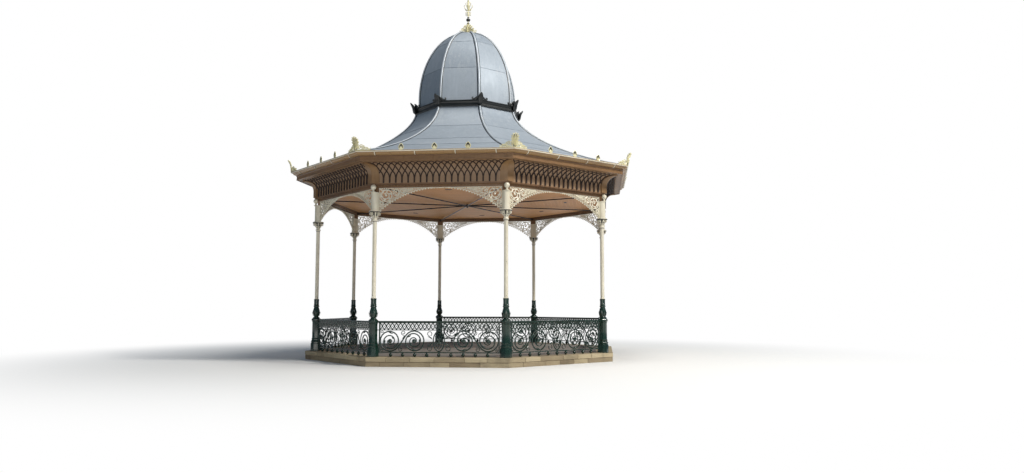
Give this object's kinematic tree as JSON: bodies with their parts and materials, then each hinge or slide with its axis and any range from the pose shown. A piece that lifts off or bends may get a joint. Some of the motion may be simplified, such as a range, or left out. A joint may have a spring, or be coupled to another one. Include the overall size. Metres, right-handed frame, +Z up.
{
  "type": "bandstand",
  "caption": "Octagonal open bandstand with scroll railings, slender iron columns, arched openwork spandrels, coved latticed eaves, concave zinc roof and ribbed dome with a finial.",
  "frame": {"origin": "ground level on the centre line, under the middle of the stone plinth", "axes": "+Z up, -Y out of the front side of the octagon, +X to the right of someone who faces that side"},
  "size_m": [11.0582, 11.0582, 12.46],
  "materials": {
    "buff_stone": "coursed buff sandstone",
    "paving": "pale pinkish grey paving",
    "green_iron": "dark green gloss paint",
    "cream_iron": "cream gloss paint",
    "brown_timber": "tan-brown paint on moulded timber",
    "ceiling_boards": "tan painted boards",
    "cove_boards": "beige painted boards",
    "hip_paint": "beige painted board",
    "eaves_timber": "beige painted timber",
    "dark_ribs": "dark brown-black paint",
    "cream_gutter": "cream paint, weathered",
    "gilt_iron": "pale gilt-cream paint",
    "zinc_sheet": "weathered blue-grey zinc sheet",
    "zinc_roll": "weathered blue-grey zinc roll",
    "black_iron": "black gloss paint"
  },
  "bodies": {
    "root": {"ceiling": "ceiling_boards", "column_back_left": "cream_iron", "column_back_right": "cream_iron", "column_front_left": "cream_iron", "column_front_right": "cream_iron", "column_left_back": "cream_iron", "column_left_front": "cream_iron", "column_right_back": "cream_iron", "column_right_front": "cream_iron", "corner_acroteria": "gilt_iron", "dome": "zinc_sheet", "dome_rolls": "zinc_roll", "eaves_cove": "cove_boards", "eaves_plate": "eaves_timber", "finial": "gilt_iron", "floor_slab": "paving", "frieze_back": "dark_ribs", "frieze_back_left": "dark_ribs", "frieze_back_right": "dark_ribs", "frieze_front": "dark_ribs", "frieze_front_left": "dark_ribs", "frieze_front_right": "dark_ribs", "frieze_left": "dark_ribs", "frieze_right": "dark_ribs", "gutter": "cream_gutter", "gutter_crests": "gilt_iron", "hip_boards": "hip_paint", "neck_band": "black_iron", "neck_leaves": "black_iron", "pedestals": "green_iron", "plinth_kerb": "buff_stone", "railing_back": "green_iron", "railing_back_right": "green_iron", "railing_front": "green_iron", "railing_front_left": "green_iron", "railing_front_right": "green_iron", "railing_left": "green_iron", "railing_right": "green_iron", "roof_skirt": "zinc_sheet", "skirt_rolls": "zinc_roll", "spandrel_back": "cream_iron", "spandrel_back_left": "cream_iron", "spandrel_back_right": "cream_iron", "spandrel_front": "cream_iron", "spandrel_front_left": "cream_iron", "spandrel_front_right": "cream_iron", "spandrel_left": "cream_iron", "spandrel_right": "cream_iron", "tie_rods": "black_iron", "wall_plate": "brown_timber"}
  },
  "joints": []
}
